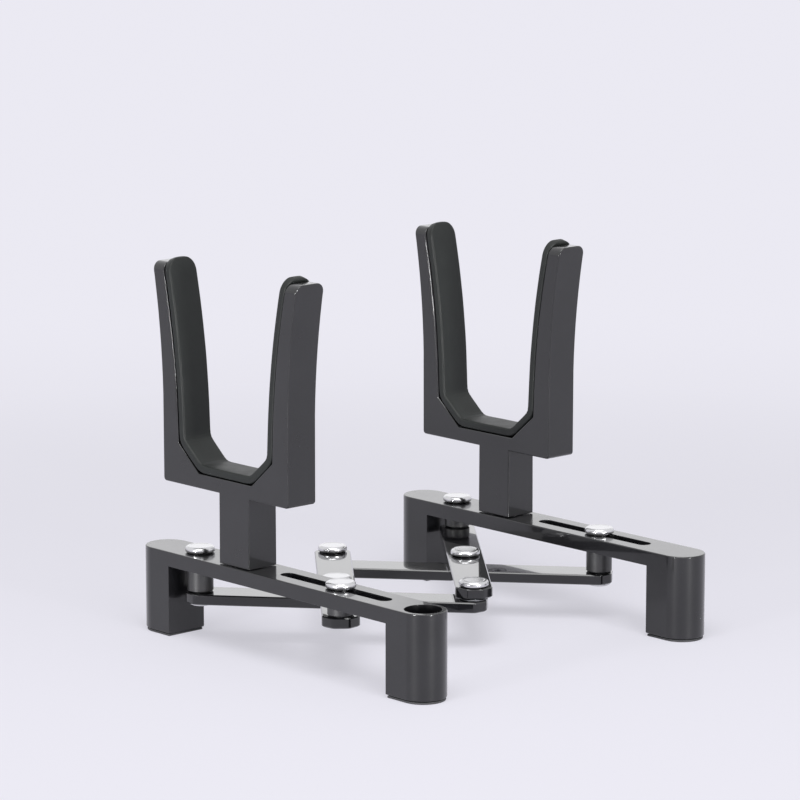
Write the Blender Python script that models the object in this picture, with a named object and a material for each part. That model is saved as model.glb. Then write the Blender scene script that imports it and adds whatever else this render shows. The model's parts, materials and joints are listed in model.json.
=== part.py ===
"""Folding stand for a violin: two footed rails, each with a padded cradle, joined by a flat lazy-tongs scissor.

The rails run along Y with the player's side at -Y. The stand opens along X, and +Z is up.
The origin is under the middle of the stand, on the surface that it stands on.
"""
import math

import bmesh
import bpy
from mathutils import Vector

# Clearances
GAP = 0.0003            # between pieces that touch
TURN_GAP = 0.0002       # radial play of a pin in its hole
RIM = 0.0005            # small rounding along outer metal edges

# Rails, each with a foot at either end
RAIL_LENGTH = 0.184
RAIL_WIDTH = 0.020
RAIL_THICK = 0.0065
RAIL_TOP = 0.038
FOOT_LENGTH = 0.022
PAD_THICK = 0.0010
PAD_INSET = 0.0005

# Scissor links
SPREAD = 0.154          # between the rails' centre lines as the stand is shown
LINK_WIDTH = 0.0162
LINK_THICK = 0.0046
LINK_END = 0.0060       # metal beyond an end pivot
LINK_CORNER = 0.0044    # the chamfer of a link's end
PIVOT_TO_FOOT = 0.0098  # from the fixed pivot to the back foot
SLIDE_TO_FOOT = 0.01186     # from the sliding pin to the front foot, folded
LINK_CLEAR = 0.00147    # between two links of one layer, folded side by side
RAIL_TO_LINK = 0.0051   # under the rail, down to the upper links
LAYER_GAP = 0.0010      # between the upper and the lower links
OPEN_ANGLE = math.radians(61.0)     # of a link to the rails, with the pin at the slot's back end
SLOT_SPARE = 0.0005     # slot left in front of the folded pin

# Pivot rivets
PIN_RADIUS = 0.0030
CAP_RADIUS = 0.0065
CAP_NECK_RADIUS = 0.0058
CAP_NECK = 0.0005       # the step under a cap
CAP_EDGE = 0.0010       # the upright part of its rim
CAP_SHOULDER = 0.0016
CAP_THICK = 0.0024
HEAD_RADIUS = 0.0052
HEAD_THICK = 0.0016     # of a rivet's head, below a link or let into it
SHANK_RADIUS = 0.0014
SHANK_LENGTH = 0.0050
SPACER_RADIUS = 0.0057
WASHER_RADIUS = 0.0062

# Cradles
CRADLE_DEPTH = 0.0157   # along X
CRADLE_OFFSET = 0.0058  # from the post's centre back to the U's
CRADLE_HALF = 0.0410    # from that centre to the arms' outer faces
CRADLE_LOW = 0.0688     # underside of the U
CRADLE_TOP = 0.1645     # metal tips of the arms
WEB = 0.0064            # metal under the lining
ARM_LOW = 0.0102        # thickness of an arm at the chamfer
ARM_TIP = 0.0068        # and at its tip
FLAT_HALF = 0.0174      # half of the flat inside the U
CHAMFER_RISE = 0.0115
LEAN_START = 0.1000     # the arms flare from here to their tips
LEAN = 0.0062
LEAN_STEPS = 9
CORNER_RADIUS = 0.0016
TIP_RADIUS = 0.0040
PIVOT_TO_POST = 0.0320  # between the centres of the fixed pivot and the post
POST_LENGTH = 0.0195    # along Y

# Lining of the cradles
LINING_THICK = 0.0037
LINING_RISE = 0.0024    # above the metal tips
LINING_INSET = 0.0002   # in from the cradle's faces
LINING_TIP_RADIUS = 0.0066

# Screws that hold the posts, from under the rails
SCREW_SPACING = 0.0100
SCREW_RADIUS = 0.0019
SCREW_LENGTH = 0.0135
SCREW_HEAD_RADIUS = 0.0038
SCREW_HEAD_THICK = 0.0024
SOCKET_RADIUS = 0.0014
SOCKET_DEPTH = 0.0012

# Round hole for a bow's tip, in the left rail's front foot
TIP_HOLE_WALL = 0.0020
TIP_HOLE_DEPTH = 0.0280

ROUND_STEPS = 20        # sides of a turned piece
END_STEPS = 20          # segments of a rail's round end
OVERCUT = 0.0020        # how far a cutter runs past the surface
SMOOTH_ANGLE = math.radians(35.0)
CREASE = math.radians(60.0)

# Derived sizes
HALF = RAIL_LENGTH / 2
FOOT_INNER = HALF - FOOT_LENGTH
RAIL_UNDER = RAIL_TOP - RAIL_THICK
UPPER_TOP = RAIL_UNDER - RAIL_TO_LINK
UPPER_UNDER = UPPER_TOP - LINK_THICK
LOWER_TOP = UPPER_UNDER - LAYER_GAP
LOWER_UNDER = LOWER_TOP - LINK_THICK
BACK_Y = FOOT_INNER - PIVOT_TO_FOOT
FOLDED_REACH = BACK_Y + FOOT_INNER - SLIDE_TO_FOOT
FOLDED_ANGLE = math.asin((LINK_WIDTH + LINK_CLEAR) / FOLDED_REACH)
LINK_SPAN = FOLDED_REACH / math.cos(FOLDED_ANGLE)
FRONT_Y = BACK_Y - math.sqrt(LINK_SPAN ** 2 - (SPREAD / 2) ** 2)
MID_Y = (BACK_Y + FRONT_Y) / 2
LEFT_X = -SPREAD / 2
RIGHT_X = SPREAD / 2
HOLE_RADIUS = PIN_RADIUS + TURN_GAP
SLOT_FRONT = BACK_Y - FOLDED_REACH - SLOT_SPARE
SLOT_BACK = BACK_Y - LINK_SPAN * math.cos(OPEN_ANGLE)
POST_Y = BACK_Y - PIVOT_TO_POST
CRADLE_Y = POST_Y + CRADLE_OFFSET
CHAMFER_TOP = CRADLE_LOW + WEB + CHAMFER_RISE
TIP_HOLE_RADIUS = RAIL_WIDTH / 2 - TIP_HOLE_WALL
FOOT_CENTRE = HALF - RAIL_WIDTH / 2
SCREW_SEAT = RAIL_UNDER + SCREW_HEAD_THICK + GAP

BLACK = ((0.018, 0.018, 0.020), 0.22, 0.0)
RUBBER = ((0.028, 0.031, 0.030), 0.62, 0.0)
PAD_RUBBER = ((0.020, 0.020, 0.021), 0.70, 0.0)
CHROME = ((0.80, 0.80, 0.82), 0.12, 1.0)
STEEL = ((0.10, 0.10, 0.11), 0.35, 1.0)
NYLON = ((0.030, 0.030, 0.032), 0.45, 0.0)


def clear_scene():
    for old in list(bpy.data.objects):
        bpy.data.objects.remove(old, do_unlink=True)


def make_material(name, look):
    colour, roughness, metallic = look
    material = bpy.data.materials.new(name)
    material.use_nodes = True
    shader = material.node_tree.nodes["Principled BSDF"]
    shader.inputs["Base Color"].default_value = (*colour, 1.0)
    shader.inputs["Roughness"].default_value = roughness
    shader.inputs["Metallic"].default_value = metallic
    return material


def make_node(name, bm, look, at=(0.0, 0.0, 0.0), parent=None):
    """Store the bmesh as an object whose origin is at the given point."""
    bmesh.ops.recalc_face_normals(bm, faces=bm.faces)
    bmesh.ops.translate(bm, verts=bm.verts, vec=-Vector(at))
    mesh = bpy.data.meshes.new(name)
    bm.to_mesh(mesh)
    bm.free()
    mesh.shade_smooth()
    mesh.set_sharp_from_angle(angle=SMOOTH_ANGLE)
    node = bpy.data.objects.new(name, mesh)
    bpy.context.scene.collection.objects.link(node)
    if look:
        mesh.materials.append(make_material(name, look))
    place(node, at, parent)
    return node


def place(node, at, parent):
    """Put the object at a world position, under a parent that isn't turned."""
    offset = Vector(at)
    if parent:
        node.parent = parent
        offset -= world_position(parent)
    node.location = offset


def world_position(node):
    spot = node.location.copy()
    while node.parent:
        node = node.parent
        spot += node.location
    return spot


def make_axis(name, at, parent=None):
    """An empty on a hinge's axis, which carries everything that turns with it."""
    empty = bpy.data.objects.new(name, None)
    empty.empty_display_type = "SINGLE_ARROW"
    empty.empty_display_size = RAIL_TOP
    bpy.context.scene.collection.objects.link(empty)
    place(empty, at, parent)
    return empty


def cut(node, cutter):
    cutter.hide_render = True
    cutter.display_type = "WIRE"
    boolean = node.modifiers.new(cutter.name, "BOOLEAN")
    boolean.operation = "DIFFERENCE"
    boolean.object = cutter


def extrude_outline(bm, points, shift):
    """Fill a closed outline and pull it along the shift."""
    verts = [bm.verts.new(point) for point in points]
    face = bm.faces.new(verts)
    pulled = bmesh.ops.extrude_face_region(bm, geom=[face])
    moved = [item for item in pulled["geom"] if isinstance(item, bmesh.types.BMVert)]
    bmesh.ops.translate(bm, verts=moved, vec=shift)
    bmesh.ops.recalc_face_normals(bm, faces=bm.faces)
    return moved


def plate(outline, low, high):
    """An upright prism over an outline in the XY plane."""
    bm = bmesh.new()
    extrude_outline(bm, [(x, y, low) for x, y in outline], (0, 0, high - low))
    return bm


def round_edges(bm, edges, radius, segments):
    bmesh.ops.bevel(bm, geom=edges, offset=radius, segments=segments, profile=0.5, affect="EDGES")


def level_edges(bm, height):
    """The edges that lie at one height."""
    return [e for e in bm.edges if all(abs(v.co.z - height) < GAP / 10 for v in e.verts)]


def turn(bm, profile, centre, closed=False):
    """Spin a (radius, height) profile about the upright line through the centre."""
    verts = [bm.verts.new((centre[0] + r, centre[1], z)) for r, z in profile]
    edges = [bm.edges.new(pair) for pair in zip(verts, verts[1:])]
    if closed:
        edges.append(bm.edges.new((verts[-1], verts[0])))
    bmesh.ops.spin(
        bm, geom=verts + edges, cent=(centre[0], centre[1], 0), axis=(0, 0, 1),
        angle=math.tau, steps=ROUND_STEPS, use_duplicate=False,
    )
    bmesh.ops.remove_doubles(bm, verts=bm.verts, dist=GAP / 100)


def rod(bm, centre, radius, low, high):
    turn(bm, [(0, low), (radius, low), (radius, high), (0, high)], centre)


def ring(bm, centre, inner, outer, low, high):
    turn(bm, [(inner, low), (outer, low), (outer, high), (inner, high)], centre, closed=True)


def arc(centre, radius, start, end, steps):
    """Points along an arc, both ends included."""
    points = []
    for step in range(steps + 1):
        angle = start + (end - start) * step / steps
        points.append((centre[0] + radius * math.cos(angle), centre[1] + radius * math.sin(angle)))
    return points


def capsule(x, front, back, radius, steps):
    """A long outline along Y with half-round ends."""
    return (arc((x, back - radius), radius, 0, math.pi, steps)
            + arc((x, front + radius), radius, math.pi, math.tau, steps))


def foot_outline(x, end, inset):
    """The D of one foot: half round outside and flat inside, for the front or the back end."""
    radius = RAIL_WIDTH / 2 - inset
    inner = end * (FOOT_INNER + inset)
    round_end = arc((x, end * FOOT_CENTRE), radius, 0, end * math.pi, END_STEPS)
    return round_end + [(x - radius, inner), (x + radius, inner)]


def build_rail(side, x, parent, with_tip_hole):
    """One bar with its two feet, cut from a solid capsule."""
    low = PAD_THICK + GAP
    bm = plate(capsule(x, -HALF, HALF, RAIL_WIDTH / 2, END_STEPS), low, RAIL_TOP)
    round_edges(bm, level_edges(bm, low) + level_edges(bm, RAIL_TOP), RIM, 2)
    rail = make_node(f"{side}_rail", bm, BLACK, (x, 0, 0), parent)
    half_width = RAIL_WIDTH / 2 + OVERCUT
    arch = [(x - half_width, -FOOT_INNER), (x + half_width, -FOOT_INNER),
            (x + half_width, FOOT_INNER), (x - half_width, FOOT_INNER)]
    cut(rail, make_node(f"cut_arch_{side}", plate(arch, low - OVERCUT, RAIL_UNDER), None, (x, 0, 0), parent))
    holes = plate(capsule(x, SLOT_FRONT - HOLE_RADIUS, SLOT_BACK + HOLE_RADIUS, HOLE_RADIUS, ROUND_STEPS // 2),
                  RAIL_UNDER - OVERCUT, RAIL_TOP + OVERCUT)
    rod(holes, (x, BACK_Y), HOLE_RADIUS, RAIL_UNDER - OVERCUT, RAIL_TOP + OVERCUT)
    for y in screw_places():
        turn(holes, screw_hole_profile(), (x, y))
    if with_tip_hole:
        rod(holes, (x, -FOOT_CENTRE), TIP_HOLE_RADIUS, RAIL_TOP - TIP_HOLE_DEPTH, RAIL_TOP + OVERCUT)
    cut(rail, make_node(f"cut_holes_{side}", holes, None, (x, 0, 0), parent))
    return rail


def screw_places():
    return [POST_Y - SCREW_SPACING / 2, POST_Y + SCREW_SPACING / 2]


def screw_hole_profile():
    """A counterbored hole from under the rail."""
    head = SCREW_HEAD_RADIUS + GAP
    stem = SCREW_RADIUS + TURN_GAP
    seat = SCREW_SEAT
    low = RAIL_UNDER - OVERCUT
    high = RAIL_TOP + OVERCUT
    return [(0, low), (head, low), (head, seat), (stem, seat), (stem, high), (0, high)]


def build_screws(side, x, parent):
    """The two socket-head screws that hold a post."""
    low = SCREW_SEAT - GAP - SCREW_HEAD_THICK
    seat = SCREW_SEAT - GAP
    profile = [(0, low + SOCKET_DEPTH), (SOCKET_RADIUS, low + SOCKET_DEPTH), (SOCKET_RADIUS, low),
               (SCREW_HEAD_RADIUS, low), (SCREW_HEAD_RADIUS, seat), (SCREW_RADIUS, seat),
               (SCREW_RADIUS, low + SCREW_LENGTH), (0, low + SCREW_LENGTH)]
    for word, y in zip(("front", "back"), screw_places()):
        bm = bmesh.new()
        turn(bm, profile, (x, y))
        make_node(f"{side}_screw_{word}", bm, STEEL, (x, y, low), parent)


def build_pads(side, x, parent):
    for end, word in ((-1, "front"), (1, "back")):
        bm = plate(foot_outline(x, end, PAD_INSET), 0, PAD_THICK)
        make_node(f"{side}_pad_{word}", bm, PAD_RUBBER, (x, end * FOOT_CENTRE, 0), parent)


def arm_lean(z):
    """How far an arm's outer face has flared at a height."""
    part = max(0.0, (z - LEAN_START) / (CRADLE_TOP - LEAN_START))
    return LEAN * part ** 2


def arm_outer(z):
    return CRADLE_HALF + arm_lean(z)


def arm_inner(z):
    part = (z - CHAMFER_TOP) / (CRADLE_TOP - CHAMFER_TOP)
    return arm_outer(z) - ARM_LOW + (ARM_LOW - ARM_TIP) * part


def lean_heights():
    return [LEAN_START + (CRADLE_TOP - LEAN_START) * step / LEAN_STEPS for step in range(LEAN_STEPS + 1)]


def inner_half():
    """The inside of one arm, from the middle of the U to the tip, as (half width, height)."""
    points = [(FLAT_HALF, CRADLE_LOW + WEB), (arm_inner(CHAMFER_TOP), CHAMFER_TOP)]
    return points + [(arm_inner(z), z) for z in lean_heights()]


def outer_half():
    """The outside of one arm, from its rounded bottom corner to the tip."""
    centre = (CRADLE_HALF - CORNER_RADIUS, CRADLE_LOW + CORNER_RADIUS)
    points = arc(centre, CORNER_RADIUS, -math.pi / 2, 0, 4)
    return points + [(arm_outer(z), z) for z in lean_heights()]


def both_arms(half):
    """Mirror a half profile into one path from the front tip to the back tip."""
    front = [(CRADLE_Y - width, z) for width, z in reversed(half)]
    return front + [(CRADLE_Y + width, z) for width, z in half]


def build_cradle(side, x, parent):
    """Post and U in one outline, pulled along X."""
    foot = RAIL_TOP + GAP
    front_post = POST_Y - POST_LENGTH / 2
    back_post = POST_Y + POST_LENGTH / 2
    outer = both_arms(outer_half())
    front_arm = outer[:len(outer) // 2]
    back_arm = outer[len(outer) // 2:]
    outline = [(back_post, foot), (back_post, CRADLE_LOW)] + back_arm
    outline += list(reversed(both_arms(inner_half()))) + front_arm
    outline += [(front_post, CRADLE_LOW), (front_post, foot)]
    bm = bmesh.new()
    low_x = x - CRADLE_DEPTH / 2
    extrude_outline(bm, [(low_x, y, z) for y, z in outline], (CRADLE_DEPTH, 0, 0))
    round_tips(bm, CRADLE_TOP, TIP_RADIUS)
    rims = [e for e in bm.edges
            if e.calc_face_angle(0) > CREASE and e.is_convex and max(v.co.z for v in e.verts) > foot + GAP]
    round_edges(bm, rims, RIM, 2)
    cradle = make_node(f"{side}_cradle", bm, BLACK, (x, POST_Y, foot), parent)
    holes = bmesh.new()
    top = SCREW_SEAT + SCREW_LENGTH
    for y in screw_places():
        rod(holes, (x, y), SCREW_RADIUS + TURN_GAP, foot - OVERCUT, top)
    cut(cradle, make_node(f"cut_post_{side}", holes, None, (x, POST_Y, foot), parent))


def round_tips(bm, top, radius):
    """Round the tips' corners as seen from the front."""
    corners = [e for e in bm.edges
               if all(abs(v.co.z - top) < GAP / 10 for v in e.verts)
               and abs(e.verts[0].co.x - e.verts[1].co.x) < GAP / 10]
    round_edges(bm, corners, radius, 6)


def offset_path(path, distance):
    """The path moved sideways by a distance, with mitred corners."""
    points = [Vector(point) for point in path]
    steps = [(after - before).normalized() for before, after in zip(points, points[1:])]
    sides = [Vector((-step.y, step.x)) for step in steps]
    moved = [points[0] + sides[0] * distance]
    for point, one, two in zip(points[1:-1], sides, sides[1:]):
        mitre = (one + two).normalized()
        moved.append(point + mitre * (distance / mitre.dot(one)))
    moved.append(points[-1] + sides[-1] * distance)
    return moved


def level_ends(path, top):
    """Run both ends of the path on to one height."""
    for end, near in ((0, 1), (-1, -2)):
        slope = path[end] - path[near]
        path[end] = path[near] + slope * ((top - path[near].y) / slope.y)
    return path


def build_lining(side, x, parent):
    """A strap of one thickness that follows the inside of the U and stands above the tips."""
    inside = both_arms(inner_half())
    top = CRADLE_TOP + LINING_RISE
    under = level_ends(offset_path(inside, GAP), top)
    over = level_ends(offset_path(inside, GAP + LINING_THICK), top)
    low_x = x - CRADLE_DEPTH / 2 + LINING_INSET
    bm = bmesh.new()
    outline = [(low_x, p.x, p.y) for p in under + list(reversed(over))]
    extrude_outline(bm, outline, (CRADLE_DEPTH - 2 * LINING_INSET, 0, 0))
    round_tips(bm, top, LINING_TIP_RADIUS)
    make_node(f"{side}_lining", bm, RUBBER, (x, CRADLE_Y, CRADLE_LOW + WEB), parent)


def link_outline():
    """A strip with chamfered ends, from its first pivot at the origin along +X."""
    half = LINK_WIDTH / 2
    near = -LINK_END
    far = LINK_SPAN + LINK_END
    left = [(near + LINK_CORNER, half), (near, half - LINK_CORNER),
            (near, LINK_CORNER - half), (near + LINK_CORNER, -half)]
    right = [(far - LINK_CORNER, -half), (far, LINK_CORNER - half),
             (far, half - LINK_CORNER), (far - LINK_CORNER, half)]
    return left + right


def build_link(name, start, end, low, flush, origin, parent):
    """A link between two pivots, with three holes, and a recess under each that has a flush rivet."""
    along = Vector((end[0] - start[0], end[1] - start[1])).normalized()
    across = Vector((-along.y, along.x))
    outline = [Vector(start) + along * px + across * py for px, py in link_outline()]
    bm = plate([(p.x, p.y) for p in outline], low, low + LINK_THICK)
    round_edges(bm, level_edges(bm, low) + level_edges(bm, low + LINK_THICK), RIM, 1)
    link = make_node(name, bm, BLACK, (*origin, low), parent)
    holes = bmesh.new()
    for part in (0.0, 0.5, 1.0):
        spot = Vector(start) + along * LINK_SPAN * part
        rod(holes, spot, HOLE_RADIUS, low - OVERCUT, low + LINK_THICK + OVERCUT)
    recesses = bmesh.new()
    for part in flush:
        spot = Vector(start) + along * LINK_SPAN * part
        rod(recesses, spot, HEAD_RADIUS + GAP, low - OVERCUT, low + HEAD_THICK + GAP)
    if flush:
        cut(link, make_node(f"cut_recess_{name}", recesses, None, (*origin, low), parent))
    cut(link, make_node(f"cut_{name}", holes, None, (*origin, low), parent))


def build_pivot(name, centre, under, top, flush, parent):
    """A rivet from below, and the cap screw that closes it from above."""
    head_low = under if flush else under - GAP - HEAD_THICK
    head_top = head_low + HEAD_THICK
    cap_low = top + GAP
    sleeve_top = top - GAP
    bore = SHANK_RADIUS + TURN_GAP
    bore_floor = cap_low - SHANK_LENGTH - GAP
    bm = bmesh.new()
    turn(bm, [(0, head_low), (HEAD_RADIUS - RIM, head_low), (HEAD_RADIUS, head_low + RIM), (HEAD_RADIUS, head_top),
              (PIN_RADIUS, head_top), (PIN_RADIUS, sleeve_top), (bore, sleeve_top),
              (bore, bore_floor), (0, bore_floor)], centre)
    make_node(f"rivet_{name}", bm, CHROME, (*centre, head_low), parent)
    bm = bmesh.new()
    turn(bm, [(0, cap_low - SHANK_LENGTH), (SHANK_RADIUS, cap_low - SHANK_LENGTH), (SHANK_RADIUS, cap_low)]
         + cap_profile(cap_low), centre)
    make_node(f"cap_{name}", bm, CHROME, (*centre, cap_low), parent)


def cap_profile(low):
    """The cap, from its neck out to the rim, up round the shoulder and in to the flat top."""
    base = low + CAP_NECK
    points = [(CAP_NECK_RADIUS, low), (CAP_NECK_RADIUS, base), (CAP_RADIUS - RIM / 2, base),
              (CAP_RADIUS, base + RIM / 2), (CAP_RADIUS, base + CAP_EDGE)]
    rise = CAP_THICK - CAP_EDGE
    for angle in (30, 60, 90):
        turned = math.radians(angle)
        points.append((CAP_RADIUS - CAP_SHOULDER * (1 - math.cos(turned)), base + CAP_EDGE + rise * math.sin(turned)))
    return points + [(0, base + CAP_THICK)]


def build_ring(name, centre, radius, low, high, look, parent):
    bm = bmesh.new()
    ring(bm, centre, HOLE_RADIUS, radius, low, high)
    make_node(name, bm, look, (*centre, low), parent)


def build_side(side, x, parent, with_tip_hole):
    build_rail(side, x, parent, with_tip_hole)
    build_cradle(side, x, parent)
    build_lining(side, x, parent)
    build_screws(side, x, parent)
    build_pads(side, x, parent)


def build_links(axes):
    """The four links: those named upper hang from a rail by a short spacer, the lower ones by a tall one."""
    build_link("link_lower_left", (LEFT_X, BACK_Y), (0, FRONT_Y), LOWER_UNDER, (0.5, 1.0), (LEFT_X, BACK_Y),
               axes["fold"])
    build_link("link_upper_left", (LEFT_X, FRONT_Y), (0, BACK_Y), UPPER_UNDER, (0.0,), (LEFT_X / 2, MID_Y),
               axes["cross_left"])
    build_link("link_upper_right", (0, FRONT_Y), (RIGHT_X, BACK_Y), UPPER_UNDER, (1.0,), (0, FRONT_Y), axes["front"])
    build_link("link_lower_right", (0, BACK_Y), (RIGHT_X, FRONT_Y), LOWER_UNDER, (0.0, 0.5), (RIGHT_X / 2, MID_Y),
               axes["cross_right"])


def build_pivots(axes):
    """Rivets, spacers and washers, each carried by the piece that it turns with."""
    rail_pivots = (
        ("left_back", (LEFT_X, BACK_Y), LOWER_UNDER, None),
        ("left_front", (LEFT_X, FRONT_Y), UPPER_UNDER, "cross_left"),
        ("right_back", (RIGHT_X, BACK_Y), UPPER_UNDER, "right"),
        ("right_front", (RIGHT_X, FRONT_Y), LOWER_UNDER, "cross_right"),
    )
    for name, centre, under, carrier in rail_pivots:
        parent = axes.get(carrier)
        build_pivot(name, centre, under, RAIL_TOP, under == UPPER_UNDER, parent)
        low = under + LINK_THICK + GAP
        build_ring(f"spacer_{name}", centre, SPACER_RADIUS, low, RAIL_UNDER - GAP, NYLON, parent)
    link_pivots = (
        ("cross_left", (LEFT_X / 2, MID_Y), "fold"),
        ("cross_right", (RIGHT_X / 2, MID_Y), "front"),
        ("front", (0, FRONT_Y), "fold"),
        ("back", (0, BACK_Y), "cross_left"),
    )
    for name, centre, carrier in link_pivots:
        build_pivot(name, centre, LOWER_UNDER, UPPER_TOP, True, axes[carrier])
        build_ring(f"washer_{name}", centre, WASHER_RADIUS, LOWER_TOP + GAP, UPPER_UNDER - GAP, STEEL, axes[carrier])


def main():
    clear_scene()
    axes = {"fold": make_axis("axis_fold", (LEFT_X, BACK_Y, 0))}
    axes["cross_left"] = make_axis("axis_cross_left", (LEFT_X / 2, MID_Y, 0), axes["fold"])
    axes["front"] = make_axis("axis_front", (0, FRONT_Y, 0), axes["fold"])
    axes["cross_right"] = make_axis("axis_cross_right", (RIGHT_X / 2, MID_Y, 0), axes["front"])
    axes["right"] = make_axis("axis_right", (RIGHT_X, BACK_Y, 0), axes["front"])
    build_side("left", LEFT_X, None, True)
    build_side("right", RIGHT_X, axes["right"], False)
    build_links(axes)
    build_pivots(axes)


main()
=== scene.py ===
# %% [markdown]
# # A folding violin stand
# The stand is two black cast rails on round-ended feet. Each rail carries a U-shaped cradle lined with
# rubber, and four flat steel links between them open and close like lazy tongs. The solids come in as a
# fixed frame, and this file gives them their finishes, their fine edges and a small photo studio.

# %% Load the frame
import json
import math

import bmesh
import bpy
import numpy as np
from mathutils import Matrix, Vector, noise


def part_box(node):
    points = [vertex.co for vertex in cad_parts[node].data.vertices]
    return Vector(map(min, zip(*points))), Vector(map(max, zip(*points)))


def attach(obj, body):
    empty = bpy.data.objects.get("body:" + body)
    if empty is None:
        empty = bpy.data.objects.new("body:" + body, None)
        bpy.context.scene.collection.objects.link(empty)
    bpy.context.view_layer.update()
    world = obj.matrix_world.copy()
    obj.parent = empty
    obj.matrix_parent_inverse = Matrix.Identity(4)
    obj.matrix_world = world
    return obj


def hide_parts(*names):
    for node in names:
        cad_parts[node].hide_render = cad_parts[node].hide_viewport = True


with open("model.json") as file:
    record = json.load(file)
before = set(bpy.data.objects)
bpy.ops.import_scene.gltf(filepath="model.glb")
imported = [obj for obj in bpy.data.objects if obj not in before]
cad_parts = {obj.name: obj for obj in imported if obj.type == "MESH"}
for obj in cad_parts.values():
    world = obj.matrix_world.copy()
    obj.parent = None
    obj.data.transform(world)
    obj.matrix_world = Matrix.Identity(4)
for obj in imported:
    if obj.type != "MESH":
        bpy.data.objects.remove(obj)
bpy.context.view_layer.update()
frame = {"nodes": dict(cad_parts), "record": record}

nodes = frame["nodes"]
record = frame["record"]
body_of = {name: body for body, names in record["behaviour"]["bodies"].items() for name in names}
slot_of = {part["node"]: part["material_slot"] for part in record["subparts"]}
print("pieces in the frame:", len(nodes))

# %% [markdown]
# ## The camera
# A long lens from well away keeps the rails nearly parallel, as a catalogue picture does. Blender's camera
# looks down its own -Z, so it is first tipped up to the horizon, less the angle it looks down by, and
# then turned about the upright axis.

# %% Camera
SENSOR_MM = 36.0
FRAME_PIXELS = 800
FOCAL_PIXELS = 4020.9
CAMERA_PLACE = (-1.16876, -1.25257, 0.42887)
CAMERA_TURN = math.radians(42.665)
CAMERA_DOWN = math.radians(10.745)


def add_camera():
    """The studio camera, made the scene's own."""
    lens = bpy.data.cameras.new("studio_camera")
    lens.sensor_width = SENSOR_MM
    lens.lens = FOCAL_PIXELS / FRAME_PIXELS * SENSOR_MM
    lens.clip_start = 0.05
    lens.clip_end = 60.0
    camera = bpy.data.objects.new("studio_camera", lens)
    camera.location = CAMERA_PLACE
    camera.rotation_euler = (math.pi / 2 - CAMERA_DOWN, 0.0, -CAMERA_TURN)
    bpy.context.scene.collection.objects.link(camera)
    bpy.context.scene.camera = camera
    return camera


camera = add_camera()
print("lens in mm:", round(camera.data.lens, 1))

# %% [markdown]
# ## Helpers for node graphs
# A material here is a graph of nodes. One helper adds a node with its values, a few more map, multiply or
# otherwise combine values, and the last two start a node group with named sockets and place it, so that
# an effect is built once and reused.

# %% Node helpers
FLOAT = "NodeSocketFloat"
FULL = (0.0, 1.0)


def add_node(tree, kind, sockets=None, **settings):
    """Add a node, set its properties, then the plain values of its input sockets."""
    node = tree.nodes.new(kind)
    for name, value in settings.items():
        setattr(node, name, value)
    for name, value in (sockets or {}).items():
        node.inputs[name].default_value = value
    return node


def map_value(tree, value, old, new):
    """Map a value from one range to another, held at its ends."""
    node = add_node(tree, "ShaderNodeMapRange", {1: old[0], 2: old[1], 3: new[0], 4: new[1]})
    tree.links.new(value, node.inputs[0])
    return node.outputs[0]


def combine(tree, operation, one, two):
    """Multiply, add or otherwise join two values, either of which may be a plain number."""
    node = add_node(tree, "ShaderNodeMath", operation=operation)
    for socket, value in zip(node.inputs, (one, two)):
        if isinstance(value, (int, float)):
            socket.default_value = value
        else:
            tree.links.new(value, socket)
    return node.outputs[0]


def multiply(tree, first, *others):
    """The product of two or more values."""
    for other in others:
        first = combine(tree, "MULTIPLY", first, other)
    return first


def noise_value(tree, scale, detail=2.0, rough=0.5):
    """A noise fixed to the object, at a plain scale or one that a socket gives."""
    place = add_node(tree, "ShaderNodeTexCoord")
    node = add_node(tree, "ShaderNodeTexNoise", {"Detail": detail, "Roughness": rough})
    tree.links.new(place.outputs["Object"], node.inputs["Vector"])
    if isinstance(scale, (int, float)):
        node.inputs["Scale"].default_value = scale
    else:
        tree.links.new(scale, node.inputs["Scale"])
    return node.outputs[0]


def start_group(name, inputs, outputs):
    """A node group with float sockets: names with defaults in, names out."""
    group = bpy.data.node_groups.new(name, "ShaderNodeTree")
    for label, default in inputs.items():
        group.interface.new_socket(name=label, in_out="INPUT", socket_type=FLOAT).default_value = default
    for label in outputs:
        group.interface.new_socket(name=label, in_out="OUTPUT", socket_type=FLOAT)
    return group, group.nodes.new("NodeGroupInput").outputs, group.nodes.new("NodeGroupOutput").inputs


def use_group(tree, group, **values):
    """Place a group and set its inputs: an underscore in a name here is a space there."""
    node = add_node(tree, "ShaderNodeGroup", node_tree=group)
    for name, value in values.items():
        node.inputs[name.replace("_", " ")].default_value = value
    return node.outputs


# %% [markdown]
# ## Effects that several finishes share
# Nothing real is one flat colour. A soft unevenness stands for the way a finish flows, and paint wears
# thin where two faces meet. Specks of dust settle on what faces up, and a share of them clings to the
# upright faces too. The worn edge is found by comparing the true normal with one rounded by a Bevel node,
# which works on large flat faces too.

# %% Shared effect groups
def make_uneven_group():
    """Broad and fine noise: a value for tone and roughness, and a height for relief."""
    group, given, result = start_group(
        "uneven finish", {"Broad Scale": 40.0, "Fine Scale": 900.0, "Fine Share": 0.3}, ["Value", "Height"])
    broad = noise_value(group, given["Broad Scale"], 3.0, 0.55)
    fine = noise_value(group, given["Fine Scale"])
    broad_share = combine(group, "SUBTRACT", 1.0, given["Fine Share"])
    mixed = combine(group, "ADD", multiply(group, broad, broad_share),
                    multiply(group, fine, given["Fine Share"]))
    group.links.new(mixed, result["Value"])
    group.links.new(fine, result["Height"])
    return group


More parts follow.
